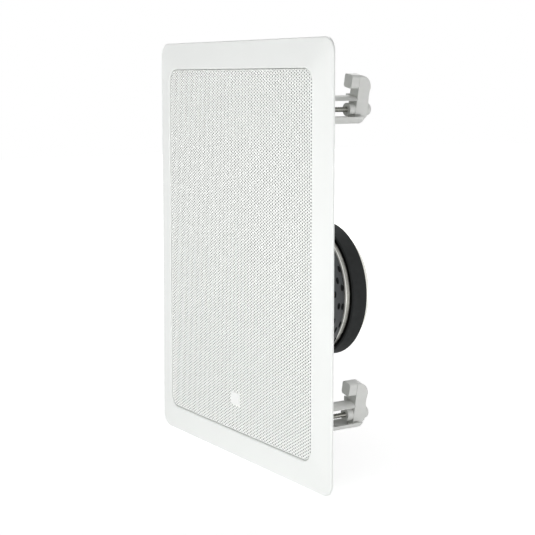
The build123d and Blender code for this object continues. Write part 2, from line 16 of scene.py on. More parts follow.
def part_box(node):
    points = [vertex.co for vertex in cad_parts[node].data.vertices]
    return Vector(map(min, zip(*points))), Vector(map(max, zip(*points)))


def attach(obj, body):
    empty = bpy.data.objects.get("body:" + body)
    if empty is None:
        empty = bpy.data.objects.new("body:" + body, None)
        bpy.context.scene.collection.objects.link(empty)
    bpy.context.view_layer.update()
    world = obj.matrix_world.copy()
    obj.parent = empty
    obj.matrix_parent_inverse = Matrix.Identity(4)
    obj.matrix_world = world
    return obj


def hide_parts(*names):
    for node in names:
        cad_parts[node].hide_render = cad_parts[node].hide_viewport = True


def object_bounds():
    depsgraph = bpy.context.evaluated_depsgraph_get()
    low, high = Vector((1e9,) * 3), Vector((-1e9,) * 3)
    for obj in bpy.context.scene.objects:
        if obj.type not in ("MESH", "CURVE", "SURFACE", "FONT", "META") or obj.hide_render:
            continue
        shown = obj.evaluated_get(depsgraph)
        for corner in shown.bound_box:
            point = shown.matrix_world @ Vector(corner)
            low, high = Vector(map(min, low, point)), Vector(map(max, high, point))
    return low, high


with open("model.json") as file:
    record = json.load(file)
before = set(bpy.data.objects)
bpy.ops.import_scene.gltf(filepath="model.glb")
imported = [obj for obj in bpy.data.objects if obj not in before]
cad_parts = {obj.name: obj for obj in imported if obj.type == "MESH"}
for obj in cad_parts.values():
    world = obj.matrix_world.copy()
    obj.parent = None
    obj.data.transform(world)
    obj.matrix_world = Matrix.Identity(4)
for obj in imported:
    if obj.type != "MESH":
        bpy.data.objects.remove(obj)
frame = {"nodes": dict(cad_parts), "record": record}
nodes = frame["nodes"]
cad_low, cad_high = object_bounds()
scene = bpy.context.scene
mm = 0.001
print("frame:", len(nodes), "nodes, box", [round(side / mm, 1) for side in cad_high - cad_low], "mm")

# %% [markdown]
# ## Camera
# The photograph was taken from the right of the speaker, a little above its middle, with a long lens, so the
# upright edges stay almost parallel. A small lens shift holds them upright where a tilt alone would not. The camera
# could be moved by eye, but fitting its place and its lens to the corners of the bezel comes closer.

# %% Camera
scene.view_settings.view_transform = "Standard"
camera_pan, camera_tilt = radians(57.37), radians(5.83)
camera_lens = bpy.data.cameras.new("studio_camera")
camera_lens.sensor_width = 36.0
camera_lens.lens = 88.46
camera_lens.shift_y = -0.10
camera = bpy.data.objects.new("studio_camera", camera_lens)
camera.location = (0.9219, -0.5640, 0.1421)
camera.rotation_euler = (pi / 2 - camera_tilt, 0, camera_pan)
scene.collection.objects.link(camera)
scene.camera = camera
print("camera:", round(camera.location.length, 3), "m from the middle of the bezel")

# %% [markdown]
# ## Colours and nodes
# Colours are picked as sRGB hex values, as in any paint program, and shaders want them linear. Every pattern is
# given by the size that it has on the real surface, and a texture's scale is one over that size. Finishes could be
# wired up by hand in the shader editor. In code, one small function that adds a node and its links is enough.


# %% Helpers for finishes
def linear(hex_colour):
    """An sRGB hex value as the linear colour that a shader works in."""
    channels = [int(hex_colour[i:i + 2], 16) / 255 for i in (0, 2, 4)]
    return (*[c / 12.92 if c <= 0.04045 else ((c + 0.055) / 1.055) ** 2.4 for c in channels], 1.0)


def per(size_mm):
    """Texture scale for a pattern whose features are this many millimetres across."""
    return 1 / (size_mm * mm)


def add(tree, kind, inputs=None, **settings):
    """Adds a node. Each input takes a value, or the output that it is linked from."""
    made = tree.nodes.new(kind)
    for name, value in settings.items():
        setattr(made, name, value)
    for name, value in (inputs or {}).items():
        if isinstance(value, bpy.types.NodeSocket):
            tree.links.new(value, made.inputs[name])
        else:
            made.inputs[name].default_value = value
    return made


def start_material(name, **values):
    """A material with one shader. An underscore in a value's name stands for the space in the socket's name."""
    material = bpy.data.materials.new(name)
    material.use_nodes = True
    tree = material.node_tree
    tree.nodes.clear()
    shader = add(tree, "ShaderNodeBsdfPrincipled", {key.replace("_", " "): v for key, v in values.items()})
    add(tree, "ShaderNodeOutputMaterial", {"Surface": shader.outputs[0]})
    place = add(tree, "ShaderNodeTexCoord").outputs["Object"]
    return material, tree, shader, place


# %% [markdown]
# ## Moulded ABS of the bezel
# The bezel is one white ABS moulding. The mould is spark-eroded, which leaves a fine even grain that softens every
# reflection. A picture of the grain could be wrapped round the bezel, but noise in the solid's own space has no seams.
# It is drawn at half a millimetre, about twice its real size, so that it shows at all.

# %% Moulded ABS
finishes = {}
moulded_abs, tree, shader, place = start_material(
    "moulded_abs_white", Roughness=0.46, IOR=1.54, Specular_IOR_Level=0.25)
drift = add(tree, "ShaderNodeTexNoise", {"Vector": place, "Scale": per(70), "Detail": 2.0})
tone = add(tree, "ShaderNodeMix", {"Factor": drift.outputs["Fac"], "A": linear("ECEEEC"), "B": linear("F0F2F0")},
           data_type="RGBA")
tree.links.new(tone.outputs["Result"], shader.inputs["Base Color"])
grain = add(tree, "ShaderNodeTexNoise", {"Vector": place, "Scale": per(0.5), "Detail": 2.0})
bump = add(tree, "ShaderNodeBump", {"Height": grain.outputs["Fac"], "Strength": 0.25, "Distance": 0.04 * mm})
tree.links.new(bump.outputs["Normal"], shader.inputs["Normal"])
finishes["bezel_abs"] = moulded_abs
print("made", moulded_abs.name)

# %% [markdown]
# ## Baked enamel of the grille
# The steel sheet is punched first, then sprayed with white enamel from the front and baked. Faces that stand square
# to the sheet, like the walls of the holes, are painted primer grey instead, as painted shade that darkens the holes.
# The wall of the fold at the rim stays white. The grey could be painted on by hand, but a face's own direction
# already says how square it stands. Baked enamel is a little glossier than the moulding and has a faint orange
# peel, 2 mm from crest to crest.

# %% Baked enamel
all_shade_below, no_shade_above = 0.1, 0.4  # how squarely a face looks out of the sheet; square faces get painted shade
wall_depth = 0.3 * mm
baked_enamel, tree, shader, place = start_material("baked_enamel_white", IOR=1.5)
facing = add(tree, "ShaderNodeSeparateXYZ", {"Vector": place.node.outputs["Normal"]})
square_on = add(tree, "ShaderNodeMath", {0: facing.outputs["Y"]}, operation="ABSOLUTE")
unshaded_ramp = add(tree, "ShaderNodeMapRange",
           {"Value": square_on.outputs[0], "From Min": all_shade_below, "From Max": no_shade_above})
unshaded_share = unshaded_ramp.outputs["Result"]
where = add(tree, "ShaderNodeSeparateXYZ", {"Vector": place})
pan_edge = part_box("grille")[1]
for axis, reach in (("X", pan_edge.x), ("Z", pan_edge.z)):
    outward = add(tree, "ShaderNodeMath", {0: where.outputs[axis]}, operation="ABSOLUTE")
    wall = add(tree, "ShaderNodeMath", {0: outward.outputs[0], 1: reach, 2: wall_depth}, operation="COMPARE")
    unshaded_share = add(tree, "ShaderNodeMath", {0: wall.outputs[0], 1: unshaded_share}, operation="MAXIMUM").outputs[0]
# Primer grey on faces square to the sheet is painted shade in the holes; the fold's wall stays white.
tone = add(tree, "ShaderNodeMix", {"Factor": unshaded_share, "A": linear("AEB1B0"), "B": linear("F8FAF7")},
           data_type="RGBA")
tree.links.new(tone.outputs["Result"], shader.inputs["Base Color"])
peel = add(tree, "ShaderNodeTexNoise", {"Vector": place, "Scale": per(2), "Detail": 1.0})
gloss = add(tree, "ShaderNodeMapRange", {"Value": peel.outputs["Fac"], "To Min": 0.34, "To Max": 0.44})
tree.links.new(gloss.outputs["Result"], shader.inputs["Roughness"])
bump = add(tree, "ShaderNodeBump", {"Height": peel.outputs["Fac"], "Strength": 0.15, "Distance": 0.05 * mm})
tree.links.new(bump.outputs["Normal"], shader.inputs["Normal"])
finishes["grille_enamel"] = baked_enamel
print("made", baked_enamel.name)

# %% [markdown]
# ## Acoustic scrim
# Behind the holes lies a thin knitted cloth, coloured grey as painted shade that darkens the holes. It lets the sound
# through, and a fifth of the light, so the dark drivers show through it as faint shadows. Its threads run both ways,
# half a millimetre apart. Each could be a curve of its own, but through the holes they are only a tone, so two crossed
# waves draw them.

# %% Acoustic scrim
thread_mm = 0.5
wave_length = 2 * pi / 20  # of a wave texture at scale 1
knitted_scrim, tree, shader, place = start_material(
    "knitted_scrim_shade_grey", Roughness=0.9, Alpha=0.8, Sheen_Weight=0.2, Sheen_Roughness=0.5)
weft = add(tree, "ShaderNodeTexWave", {"Vector": place, "Scale": per(thread_mm) * wave_length}, bands_direction="X")
warp = add(tree, "ShaderNodeTexWave", {"Vector": place, "Scale": per(thread_mm) * wave_length}, bands_direction="Z")
weave = add(tree, "ShaderNodeMath", {0: weft.outputs["Fac"], 1: warp.outputs["Fac"]}, operation="MAXIMUM")
# The grey of both tones is painted shade in the holes; the step between them is the weave.
tone = add(tree, "ShaderNodeMix", {"Factor": weave.outputs[0], "A": linear("707171"), "B": linear("858684")},
           data_type="RGBA")
tree.links.new(tone.outputs["Result"], shader.inputs["Base Color"])
bump = add(tree, "ShaderNodeBump", {"Height": weave.outputs[0], "Strength": 0.4, "Distance": 0.1 * mm})
tree.links.new(bump.outputs["Normal"], shader.inputs["Normal"])
finishes["scrim_cloth"] = knitted_scrim
print("made", knitted_scrim.name)

# %% [markdown]
# ## Bare badge plate
# The small plate on the grille is smooth white plastic. Polished tools give it a clearer reflection than the bezel.
# A perfectly flat plate would look ruled, so a slow waviness of a few millimetres bends the reflection, as plastic
# does where it sinks in cooling. That is too slight for the mesh and is left to the bump.

# %% Bare badge plate
polished_styrene, tree, shader, place = start_material(
    "polished_styrene_white", Base_Color=linear("F2F3F2"), Roughness=0.28, IOR=1.55)
sink = add(tree, "ShaderNodeTexNoise", {"Vector": place, "Scale": per(4), "Detail": 0.0})
bump = add(tree, "ShaderNodeBump", {"Height": sink.outputs["Fac"], "Strength": 0.1, "Distance": 0.1 * mm})
tree.links.new(bump.outputs["Normal"], shader.inputs["Normal"])
finishes["badge_plastic"] = polished_styrene
print("made", polished_styrene.name)

# %% [markdown]
# ## Stoved paint of the basket
# The pressed steel basket is dipped in a dark grey paint and stoved. The film is thin and satin, a little clouded where
# it ran, and the fine texture of the pressed sheet comes through it. Gloss and bump could each have a noise of their
# own, but they share one, so that the same grains are both raised and dull.

# %% Stoved paint
stoved_paint, tree, shader, place = start_material("stoved_paint_grey", IOR=1.5, Specular_IOR_Level=0.2)
cloud = add(tree, "ShaderNodeTexNoise", {"Vector": place, "Scale": per(12), "Detail": 4.0})
tone = add(tree, "ShaderNodeMix", {"Factor": cloud.outputs["Fac"], "A": linear("2B2E2F"), "B": linear("383B3C")},
           data_type="RGBA")
tree.links.new(tone.outputs["Result"], shader.inputs["Base Color"])
fine = add(tree, "ShaderNodeTexNoise", {"Vector": place, "Scale": per(0.8), "Detail": 2.0})
gloss = add(tree, "ShaderNodeMapRange", {"Value": fine.outputs["Fac"], "To Min": 0.4, "To Max": 0.55})
tree.links.new(gloss.outputs["Result"], shader.inputs["Roughness"])
bump = add(tree, "ShaderNodeBump", {"Height": fine.outputs["Fac"], "Strength": 0.25, "Distance": 0.05 * mm})
tree.links.new(bump.outputs["Normal"], shader.inputs["Normal"])
finishes["basket_paint"] = stoved_paint
print("made", stoved_paint.name)

# %% [markdown]
# ## Sintered ferrite of the magnet
# A ring magnet is pressed powder, fired like a pot and ground. It is charcoal, dead matt and slightly mottled, with
# specks half a millimetre across and here and there a small pit where a grain has dropped out. Pits could be cut into
# the mesh, but a cell texture scatters them at no cost: only the middle of each cell is sunk, and it is painted near
# black as painted shade in the pit. The faces that look into the room are painted near black too, as painted shade
# between the plates.

# %% Sintered ferrite
pit_spacing_mm = 16.0
pit_floor, pit_rim = 0.027, 0.045  # shares of that spacing
straight_forward = -0.9  # a face whose normal has less Y than this looks into the room
sintered_ferrite, tree, shader, place = start_material(
    "sintered_ferrite_charcoal", Roughness=0.8, IOR=1.5, Specular_IOR_Level=0.15)
mottle = add(tree, "ShaderNodeTexNoise", {"Vector": place, "Scale": per(6), "Detail": 5.0, "Roughness": 0.65})
tone = add(tree, "ShaderNodeMix", {"Factor": mottle.outputs["Fac"], "A": linear("272828"), "B": linear("373939")},
           data_type="RGBA")
pits = add(tree, "ShaderNodeTexVoronoi", {"Vector": place, "Scale": per(pit_spacing_mm)})
pitted = add(tree, "ShaderNodeMapRange",
             {"Value": pits.outputs["Distance"], "From Min": pit_floor, "From Max": pit_rim})
# Near black in the middle of each cell: painted shade in the pits, which the bump also sinks.
colour = add(tree, "ShaderNodeMix",
             {"Factor": pitted.outputs["Result"], "A": linear("0C0D0D"), "B": tone.outputs["Result"]},
             data_type="RGBA")
facing = add(tree, "ShaderNodeSeparateXYZ", {"Vector": place.node.outputs["Normal"]})
# Near black on faces that look into the room: painted shade between the plates.
front_shade_mask = add(tree, "ShaderNodeMath", {0: facing.outputs["Y"], 1: straight_forward}, operation="LESS_THAN")
black = add(tree, "ShaderNodeMix",
            {"Factor": front_shade_mask.outputs[0], "A": colour.outputs["Result"], "B": linear("060606")}, data_type="RGBA")
tree.links.new(black.outputs["Result"], shader.inputs["Base Color"])
speck = add(tree, "ShaderNodeTexNoise", {"Vector": place, "Scale": per(0.5), "Detail": 3.0})
height = add(tree, "ShaderNodeMath", {0: speck.outputs["Fac"], 1: pitted.outputs["Result"]}, operation="ADD")
bump = add(tree, "ShaderNodeBump", {"Height": height.outputs[0], "Strength": 0.35, "Distance": 0.08 * mm})
tree.links.new(bump.outputs["Normal"], shader.inputs["Normal"])
finishes["ferrite"] = sintered_ferrite
print("made", sintered_ferrite.name)

# %% [markdown]
# ## Zinc plate on steel
# The plates of the magnet and all the screws are steel with a thin bright zinc plate. Zinc is a soft grey metal with
# a fine crystal bloom, so its reflections are broad and a little cloudy, not mirror-like. The plates are punched from
# thick sheet. On the rim of the front one, the first quarter is sheared smooth, and the rest is torn. The rim of the
# back one is turned. Both bands are painted near white, as painted highlights of their bright edges. These bands could
# be pieces of their own, but they are the same metal, so each is picked out by its depth in the frame.

# %% Zinc plate
sheared_share, end_chamfer = 0.28, 0.2 * mm
zinc_plate, tree, shader, place = start_material("zinc_plate_on_steel", Metallic=1.0)
bloom = add(tree, "ShaderNodeTexNoise", {"Vector": place, "Scale": per(4), "Detail": 5.0, "Roughness": 0.7})
spread = add(tree, "ShaderNodeMapRange", {"Value": bloom.outputs["Fac"], "From Min": 0.3, "From Max": 0.7})
tone = add(tree, "ShaderNodeMix",
           {"Factor": spread.outputs["Result"], "A": linear("868680"), "B": linear("AEAEA8")}, data_type="RGBA")
top_front, top_back = (corner.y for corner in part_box("woofer_top_plate"))
end_front, end_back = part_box("woofer_magnet")[1].y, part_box("woofer_back_plate")[1].y
sheared = (top_front, top_front + sheared_share * (top_back - top_front))
turned = (end_front, end_back - end_chamfer)
depth = add(tree, "ShaderNodeSeparateXYZ", {"Vector": place}).outputs["Y"]
bright = 0.0
for start, stop in (sheared, turned):
    zone = add(tree, "ShaderNodeMath", {0: depth, 1: (start + stop) / 2, 2: (stop - start) / 2}, operation="COMPARE")
    bright = add(tree, "ShaderNodeMath", {0: zone.outputs[0], 1: bright}, operation="MAXIMUM").outputs[0]
# Near white on the two rim bands: painted highlights of the bright edges.
colour = add(tree, "ShaderNodeMix", {"Factor": bright, "A": tone.outputs["Result"], "B": linear("E4E4DE")},
             data_type="RGBA")
tree.links.new(colour.outputs["Result"], shader.inputs["Base Color"])
gloss = add(tree, "ShaderNodeMapRange", {"Value": bloom.outputs["Fac"], "To Min": 0.26, "To Max": 0.42})
tree.links.new(gloss.outputs["Result"], shader.inputs["Roughness"])
crystal = add(tree, "ShaderNodeTexVoronoi", {"Vector": place, "Scale": per(0.6)})
bump = add(tree, "ShaderNodeBump", {"Height": crystal.outputs["Distance"], "Strength": 0.06, "Distance": 0.03 * mm})
tree.links.new(bump.outputs["Normal"], shader.inputs["Normal"])
finishes["zinc_steel"] = zinc_plate
print("made", zinc_plate.name)

# %% [markdown]
# ## Moulded nylon of the clamps
# The towers and dogs are glass-filled nylon in light grey. Glass fibre leaves the skin dull with faint pale streaks
# a few millimetres long, and the mould's edges are never quite sharp, so the edges catch a thin line of light. A bevel
# on the mesh would change the solids, so a bevel node softens the light on their edges instead.

# %% Moulded nylon
edge_rounding = 0.35 * mm
moulded_nylon, tree, shader, place = start_material("moulded_nylon_grey", IOR=1.53)
flow = add(tree, "ShaderNodeMapping", {"Vector": place, "Scale": (1.0, 0.3, 1.0)})
streak = add(tree, "ShaderNodeTexNoise", {"Vector": flow.outputs[0], "Scale": per(2.5), "Detail": 4.0})
tone = add(tree, "ShaderNodeMix", {"Factor": streak.outputs["Fac"], "A": linear("D6D7D4"), "B": linear("DFE0DD")},
           data_type="RGBA")
tree.links.new(tone.outputs["Result"], shader.inputs["Base Color"])
gloss = add(tree, "ShaderNodeMapRange", {"Value": streak.outputs["Fac"], "To Min": 0.42, "To Max": 0.56})
tree.links.new(gloss.outputs["Result"], shader.inputs["Roughness"])
skin = add(tree, "ShaderNodeTexNoise", {"Vector": place, "Scale": per(0.4), "Detail": 2.0})
soft_edge = add(tree, "ShaderNodeBevel", {"Radius": edge_rounding}, samples=6)
bump = add(tree, "ShaderNodeBump", {"Height": skin.outputs["Fac"], "Strength": 0.2, "Distance": 0.04 * mm,
                                    "Normal": soft_edge.outputs[0]})
tree.links.new(bump.outputs["Normal"], shader.inputs["Normal"])
finishes["clamp_nylon"] = moulded_nylon
print("made", moulded_nylon.name)

# %% [markdown]
# ## Butyl rubber of the surround
# The surround is a roll of black butyl rubber. It is matt, with a fine skin, and a faint bloom comes out on it in
# clouds. One noise with much detail could give both, but they differ too much in size, so each has its own.

# %% Butyl rubber
butyl_rubber, tree, shader, place = start_material("butyl_rubber_black", Roughness=0.58, IOR=1.52)
bloom = add(tree, "ShaderNodeTexNoise", {"Vector": place, "Scale": per(9), "Detail": 4.0})
tone = add(tree, "ShaderNodeMix", {"Factor": bloom.outputs["Fac"], "A": linear("1B1B1D"), "B": linear("272729")},
           data_type="RGBA")
tree.links.new(tone.outputs["Result"], shader.inputs["Base Color"])
skin = add(tree, "ShaderNodeTexNoise", {"Vector": place, "Scale": per(0.6), "Detail": 2.0})
bump = add(tree, "ShaderNodeBump", {"Height": skin.outputs["Fac"], "Strength": 0.2, "Distance": 0.05 * mm})
tree.links.new(bump.outputs["Normal"], shader.inputs["Normal"])
finishes["surround_rubber"] = butyl_rubber
print("made", butyl_rubber.name)

# %% [markdown]
# ## Foam of the gasket
# The gasket is a ring cut from black foam, so its surface is cells cut open: sunken hollows with walls between.
# The hollows are painted darker than the walls, as painted shade. Noise would look like stone here. A cell texture
# gives the hollows their round shape and the walls their even width.

# %% Cell foam
cell_foam, tree, shader, place = start_material("cell_foam_black", Roughness=0.95, IOR=1.45)
cells = add(tree, "ShaderNodeTexVoronoi", {"Vector": place, "Scale": per(0.7)})
# Darker in the middle of each cell: painted shade in the hollows.
tone = add(tree, "ShaderNodeMix", {"Factor": cells.outputs["Distance"], "A": linear("121212"), "B": linear("2C2C2C")},
           data_type="RGBA")
tree.links.new(tone.outputs["Result"], shader.inputs["Base Color"])
bump = add(tree, "ShaderNodeBump", {"Height": cells.outputs["Distance"], "Strength": 0.6, "Distance": 0.2 * mm})
tree.links.new(bump.outputs["Normal"], shader.inputs["Normal"])
finishes["gasket_foam"] = cell_foam
print("made", cell_foam.name)

# %% [markdown]
# ## Varnished cotton of the spider
# The spider is cotton cloth stiffened with varnish, which leaves the weave plain to see. The threads could be crossed
# as in the scrim, but varnish pools between them, so the two waves are multiplied: only the crossings stand out.

# %% Varnished cotton
yarn_mm = 0.8
varnished_cotton, tree, shader, place = start_material("varnished_cotton_tan", Roughness=0.7, IOR=1.5)
weft = add(tree, "ShaderNodeTexWave", {"Vector": place, "Scale": per(yarn_mm) * wave_length}, bands_direction="X")
warp = add(tree, "ShaderNodeTexWave", {"Vector": place, "Scale": per(yarn_mm) * wave_length}, bands_direction="Z")
weave = add(tree, "ShaderNodeMath", {0: weft.outputs["Fac"], 1: warp.outputs["Fac"]}, operation="MULTIPLY")
tone = add(tree, "ShaderNodeMix", {"Factor": weave.outputs[0], "A": linear("9A7336"), "B": linear("CDA763")},
           data_type="RGBA")
tree.links.new(tone.outputs["Result"], shader.inputs["Base Color"])
bump = add(tree, "ShaderNodeBump", {"Height": weave.outputs[0], "Strength": 0.5, "Distance": 0.15 * mm})
tree.links.new(bump.outputs["Normal"], shader.inputs["Normal"])
finishes["spider_cloth"] = varnished_cotton
print("made", varnished_cotton.name)

# %% [markdown]
# ## Pressed polypropylene of the cone
# The cone and its cap are pressed polypropylene, with a faint sheen and flow lines. Stripes would be too regular for
# lines that a melt leaves behind, so they are noise that is drawn out of shape.

# %% Pressed polypropylene
pressed_polymer, tree, shader, place = start_material("pressed_polypropylene_dark", IOR=1.49)
flow = add(tree, "ShaderNodeTexNoise", {"Vector": place, "Scale": per(8), "Detail": 3.0, "Distortion": 1.5})
tone = add(tree, "ShaderNodeMix", {"Factor": flow.outputs["Fac"], "A": linear("262629"), "B": linear("35353A")},
           data_type="RGBA")
tree.links.new(tone.outputs["Result"], shader.inputs["Base Color"])
gloss = add(tree, "ShaderNodeMapRange", {"Value": flow.outputs["Fac"], "To Min": 0.3, "To Max": 0.45})
tree.links.new(gloss.outputs["Result"], shader.inputs["Roughness"])
finishes["cone_polymer"] = pressed_polymer
print("made", pressed_polymer.name)

# %% [markdown]
# ## Metals of the tweeter
# The tweeter's dome is drawn from thin titanium, and its magnet cup is plated with bright nickel. Both reflect, one
# softly and one clearly. Their colour could be clouded too, but new metal has one colour all over, so only the
# roughness varies: fine drawing marks on the dome, and a broad haze on the cup.

# %% Titanium and nickel
drawn_titanium, tree, shader, place = start_material("drawn_titanium", Metallic=1.0, Base_Color=linear("C8C8CA"))
draw_lines = add(tree, "ShaderNodeTexNoise", {"Vector": place, "Scale": per(1.5), "Detail": 3.0})
gloss = add(tree, "ShaderNodeMapRange", {"Value": draw_lines.outputs["Fac"], "To Min": 0.22, "To Max": 0.38})
tree.links.new(gloss.outputs["Result"], shader.inputs["Roughness"])
finishes["dome_metal"] = drawn_titanium

nickel_plate, tree, shader, place = start_material("bright_nickel_plate", Metallic=1.0, Base_Color=linear("CDC8BE"))
haze = add(tree, "ShaderNodeTexNoise", {"Vector": place, "Scale": per(6), "Detail": 4.0})
gloss = add(tree, "ShaderNodeMapRange", {"Value": haze.outputs["Fac"], "To Min": 0.14, "To Max": 0.3})
tree.links.new(gloss.outputs["Result"], shader.inputs["Roughness"])
finishes["nickel_plate"] = nickel_plate
print("made", drawn_titanium.name, nickel_plate.name)

# %% [markdown]
# ## Laminate of the board
# The crossover's board is brown phenolic paper laminate, and the paper shows as long pale fibres. Each could be drawn
# as a line, but noise stretched along the board gives fibres of every length.

# %% Phenolic laminate
phenolic_laminate, tree, shader, place = start_material("phenolic_laminate_brown", Roughness=0.5, IOR=1.6)
along = add(tree, "ShaderNodeMapping", {"Vector": place, "Scale": (1.0, 1.0, 0.15)})
fibre = add(tree, "ShaderNodeTexNoise", {"Vector": along.outputs[0], "Scale": per(0.9), "Detail": 4.0})
tone = add(tree, "ShaderNodeMix", {"Factor": fibre.outputs["Fac"], "A": linear("7A4A1E"), "B": linear("A9743A")},
           data_type="RGBA")
tree.links.new(tone.outputs["Result"], shader.inputs["Base Color"])
finishes["board_laminate"] = phenolic_laminate
print("made", phenolic_laminate.name)

# %% [markdown]
# ## Sleeves of the capacitors
# The capacitors are cans in a shrunk plastic sleeve, glossy blue and slightly wrinkled, with a dark disc at each end.
# The disc could be a second material, but the way its face looks is enough to tell it from the side.

# %% Shrunk sleeves
square_to_axis = 0.9
shrunk_sleeve, tree, shader, place = start_material("shrunk_sleeve_blue", Roughness=0.3, IOR=1.54)
facing = add(tree, "ShaderNodeSeparateXYZ", {"Vector": place.node.outputs["Normal"]})
end_on = add(tree, "ShaderNodeMath", {0: facing.outputs["X"]}, operation="ABSOLUTE")
end_disc = add(tree, "ShaderNodeMath", {0: end_on.outputs[0], 1: square_to_axis}, operation="GREATER_THAN")
tone = add(tree, "ShaderNodeMix", {"Factor": end_disc.outputs[0], "A": linear("1D2C63"), "B": linear("2B2B2B")},
           data_type="RGBA")
tree.links.new(tone.outputs["Result"], shader.inputs["Base Color"])
wrinkle = add(tree, "ShaderNodeTexNoise", {"Vector": place, "Scale": per(3), "Detail": 2.0})
bump = add(tree, "ShaderNodeBump", {"Height": wrinkle.outputs["Fac"], "Strength": 0.2, "Distance": 0.1 * mm})
tree.links.new(bump.outputs["Normal"], shader.inputs["Normal"])
finishes["capacitor_sleeve"] = shrunk_sleeve
print("made", shrunk_sleeve.name)

# %% [markdown]
# ## Black mouldings
# The tweeter's housing and ring and the input strip are black ABS. They could share the bezel's finish in another
# colour, but black plastic shows less grain by its colour and more by its gloss, so the grain is a deeper bump.

# %% Moulded black ABS
moulded_black, tree, shader, place = start_material(
    "moulded_abs_black", Base_Color=linear("242426"), Roughness=0.5, IOR=1.54)
grain = add(tree, "ShaderNodeTexNoise", {"Vector": place, "Scale": per(0.5), "Detail": 2.0})
bump = add(tree, "ShaderNodeBump", {"Height": grain.outputs["Fac"], "Strength": 0.3, "Distance": 0.05 * mm})
tree.links.new(bump.outputs["Normal"], shader.inputs["Normal"])
finishes["black_plastic"] = moulded_black
print("made", moulded_black.name)

# %% [markdown]
# ## Cement, copper and brass
# The resistor is cast in sandy white cement. Winding wire is copper under clear enamel: the metal could carry the gloss
# itself, but a coat over it gives the second, sharper reflection of a varnish. The input tabs are stamped brass, dulled
# by tarnish in small clouds, so one noise both darkens and roughens it.

# %% Cast cement
cast_cement, tree, shader, place = start_material("cast_cement_white", Roughness=0.85, IOR=1.55)
sand = add(tree, "ShaderNodeTexNoise", {"Vector": place, "Scale": per(0.5), "Detail": 4.0})
tone = add(tree, "ShaderNodeMix", {"Factor": sand.outputs["Fac"], "A": linear("D6D1C4"), "B": linear("F0ECE2")},
           data_type="RGBA")
tree.links.new(tone.outputs["Result"], shader.inputs["Base Color"])
bump = add(tree, "ShaderNodeBump", {"Height": sand.outputs["Fac"], "Strength": 0.4, "Distance": 0.1 * mm})
tree.links.new(bump.outputs["Normal"], shader.inputs["Normal"])
finishes["resistor_ceramic"] = cast_cement
print("made", cast_cement.name)

# %% Copper and brass
enamelled_copper, tree, shader, place = start_material(
    "enamelled_copper", Metallic=1.0, Coat_Weight=0.6, Coat_Roughness=0.15)
enamel = add(tree, "ShaderNodeTexNoise", {"Vector": place, "Scale": per(3), "Detail": 3.0})
tone = add(tree, "ShaderNodeMix", {"Factor": enamel.outputs["Fac"], "A": linear("B25A28"), "B": linear("D0814A")},
           data_type="RGBA")
tree.links.new(tone.outputs["Result"], shader.inputs["Base Color"])
gloss = add(tree, "ShaderNodeMapRange", {"Value": enamel.outputs["Fac"], "To Min": 0.25, "To Max": 0.4})
tree.links.new(gloss.outputs["Result"], shader.inputs["Roughness"])
finishes["copper_wire"] = enamelled_copper

stamped_brass, tree, shader, place = start_material("stamped_brass", Metallic=1.0)
tarnish = add(tree, "ShaderNodeTexNoise", {"Vector": place, "Scale": per(2.5), "Detail": 4.0})
tone = add(tree, "ShaderNodeMix", {"Factor": tarnish.outputs["Fac"], "A": linear("C69A4A"), "B": linear("E2C27C")},
           data_type="RGBA")
tree.links.new(tone.outputs["Result"], shader.inputs["Base Color"])
gloss = add(tree, "ShaderNodeMapRange", {"Value": tarnish.outputs["Fac"], "To Min": 0.22, "To Max": 0.4})
tree.links.new(gloss.outputs["Result"], shader.inputs["Roughness"])
finishes["tab_brass"] = stamped_brass
print("made", enamelled_copper.name, stamped_brass.name)

# %% [markdown]
# ## Dressing the solids
# The record says which finish each solid takes. The mesh stays as it is and only its material changes. The solids
# could be listed here by name, but then the list would have to be kept in step with the record.

# %% Dress the solids
for part in frame["record"]["subparts"]:
    solid = nodes[part["node"]]
    solid.data.materials.clear()
    solid.data.materials.append(finishes[part["material_slot"]])


# %% [markdown]
# ## New pieces
# What is made here is plain mesh data: points and faces. Modifiers could make some of it, but arrays of points are
# quick to make by the thousand and are the same on each run. Each new piece rides on a body of the frame, takes one
# of its finishes, and stands for the solid that it refines. Faces that meet at less than 30 degrees shade smooth.


# %% A new piece
def mesh_piece(name, points, faces, slot, body, *stands_for):
    """A new mesh that rides on a body, has the finish of a slot and stands for solids of the frame."""
    mesh = bpy.data.meshes.new(name)
    mesh.from_pydata(points, [], faces)
    mesh.shade_smooth()
    mesh.set_sharp_from_angle(angle=radians(30))
    mesh.materials.append(finishes[slot])
    piece = bpy.data.objects.new(name, mesh)
    scene.collection.objects.link(piece)
    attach(piece, body)
    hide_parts(*stands_for)
    return piece


# %% Outlines and faces
def at_depth(outline, depth):
    """Points (x, z) of an outline, stood up in the frame at one depth."""
    return np.insert(outline, 1, depth, axis=1)


def circle(radius, sides):
    """Points (x, z) round a circle, anticlockwise as seen from the room."""
    turn = np.arange(sides) * 2 * pi / sides
    return radius * np.stack([np.cos(turn), np.sin(turn)], axis=1)


def fill_between(outline, holes):
    """Triangles, anticlockwise, that fill an outline but not its holes. They number all the points in order."""
    loops, start = [], 0
    for loop in (outline, *holes):
        loops.append(list(range(start, start + len(loop))))
        start += len(loop)
    flat = np.concatenate([outline, *holes])
    all_triangles, same_point = 0, 1e-7
    found = delaunay_2d_cdt([Vector(p) for p in flat.tolist()], [], loops, all_triangles, same_point)
    numbers = [origin[0] for origin in found[3]]
    filled = np.array([[numbers[i] for i in face] for face, inside in zip(found[2], found[5]) if inside == [0]])
    a, b, c = (flat[filled[:, i]] for i in range(3))
    clockwise = np.cross(b - a, c - a) < 0
    filled[clockwise] = filled[clockwise][:, ::-1]
    return filled


def band(first, second):
    """Quads between two rings of point numbers. Both run anticlockwise, and the faces look away from the axis."""
    return np.stack([first, second, np.roll(second, -1), np.roll(first, -1)], axis=1)


